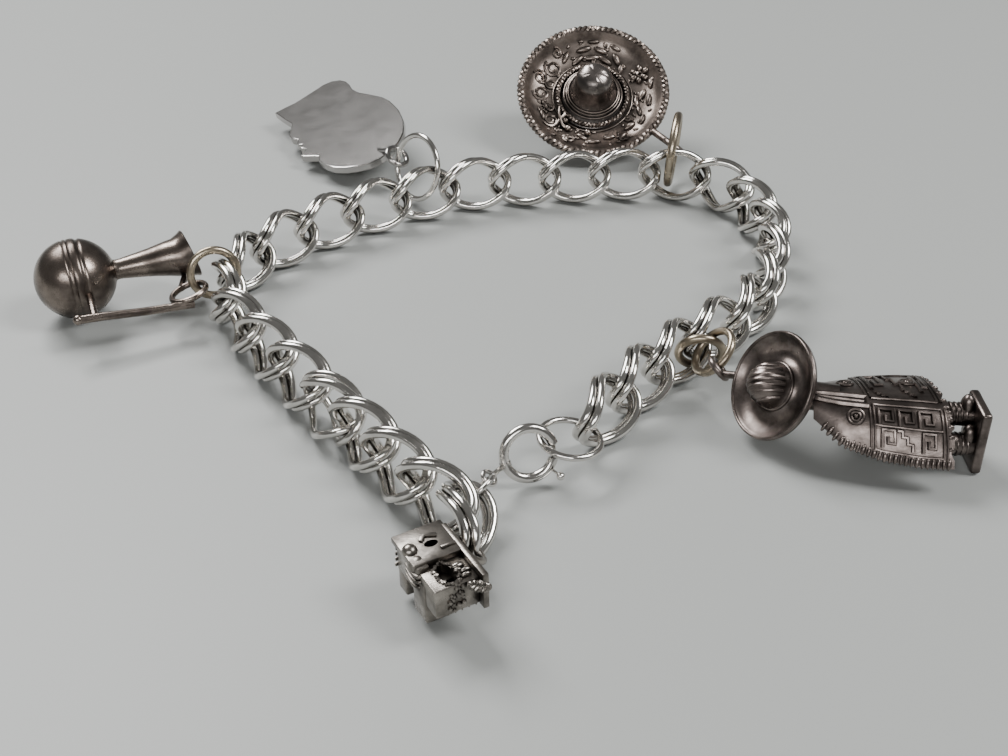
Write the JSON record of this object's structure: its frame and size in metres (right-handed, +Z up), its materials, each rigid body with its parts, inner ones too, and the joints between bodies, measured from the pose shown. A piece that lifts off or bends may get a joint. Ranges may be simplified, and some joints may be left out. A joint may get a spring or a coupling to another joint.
{
  "type": "charm bracelet",
  "caption": "Sterling double curb link charm bracelet lying in an open loop, with spring ring clasp and hanging charms: horn, head silhouette, sombrero, lying figure, little house.",
  "frame": {"origin": "middle of the whole piece's outline, on the surface it lies on", "axes": "+Z up from the surface, +Y from the clasp across the wrist opening to the far side of the chain, +X to the right seen from the clasp side"},
  "size_m": [0.0864, 0.1006, 0.0126],
  "materials": {
    "bright_silver": "polished sterling silver with dark crevices",
    "warm_silver": "satin silver with a warm bronze-brown tarnish",
    "dark_silver": "oxidised silver, worn bright on the high places"
  },
  "bodies": {
    "bracelet": {"link_01": "bright_silver", "link_02": "bright_silver", "link_03": "bright_silver", "link_04": "bright_silver", "link_05_inner": "bright_silver", "link_05_outer": "bright_silver", "link_06": "bright_silver", "link_07": "bright_silver", "link_08": "bright_silver", "link_09": "bright_silver", "link_10": "bright_silver", "link_11": "bright_silver", "link_12": "bright_silver", "link_13": "bright_silver", "link_14": "bright_silver", "link_15": "bright_silver", "link_16": "bright_silver", "link_17": "bright_silver", "link_18": "bright_silver", "link_19": "bright_silver", "link_20": "bright_silver", "link_21": "bright_silver", "link_22": "bright_silver", "link_23": "bright_silver", "link_24": "bright_silver", "link_25": "bright_silver", "link_26": "bright_silver", "link_27": "bright_silver", "link_28": "bright_silver", "link_29": "bright_silver", "clasp_ring": "bright_silver", "clasp_jump_ring": "bright_silver", "end_ring": "bright_silver", "horn_charm": "dark_silver", "horn_jump_ring": "warm_silver", "silhouette_charm": "bright_silver", "silhouette_jump_ring": "bright_silver", "sombrero_charm": "dark_silver", "sombrero_jump_ring": "warm_silver", "figure_charm": "dark_silver", "figure_jump_ring_a": "warm_silver", "figure_jump_ring_b": "warm_silver", "house_charm": "dark_silver"},
    "lever": {"clasp_lever": "bright_silver"}
  },
  "joints": [
    {"name": "clasp_lever_hinge", "type": "hinge", "parent": "bracelet", "child": "lever", "pos_m": [0.00524, -0.02997, 0.00276], "axis": [-0.2462, 0.9186, -0.309], "range_deg": [0, 38], "stiffness_Nm_per_rad": 0.002}
  ]
}
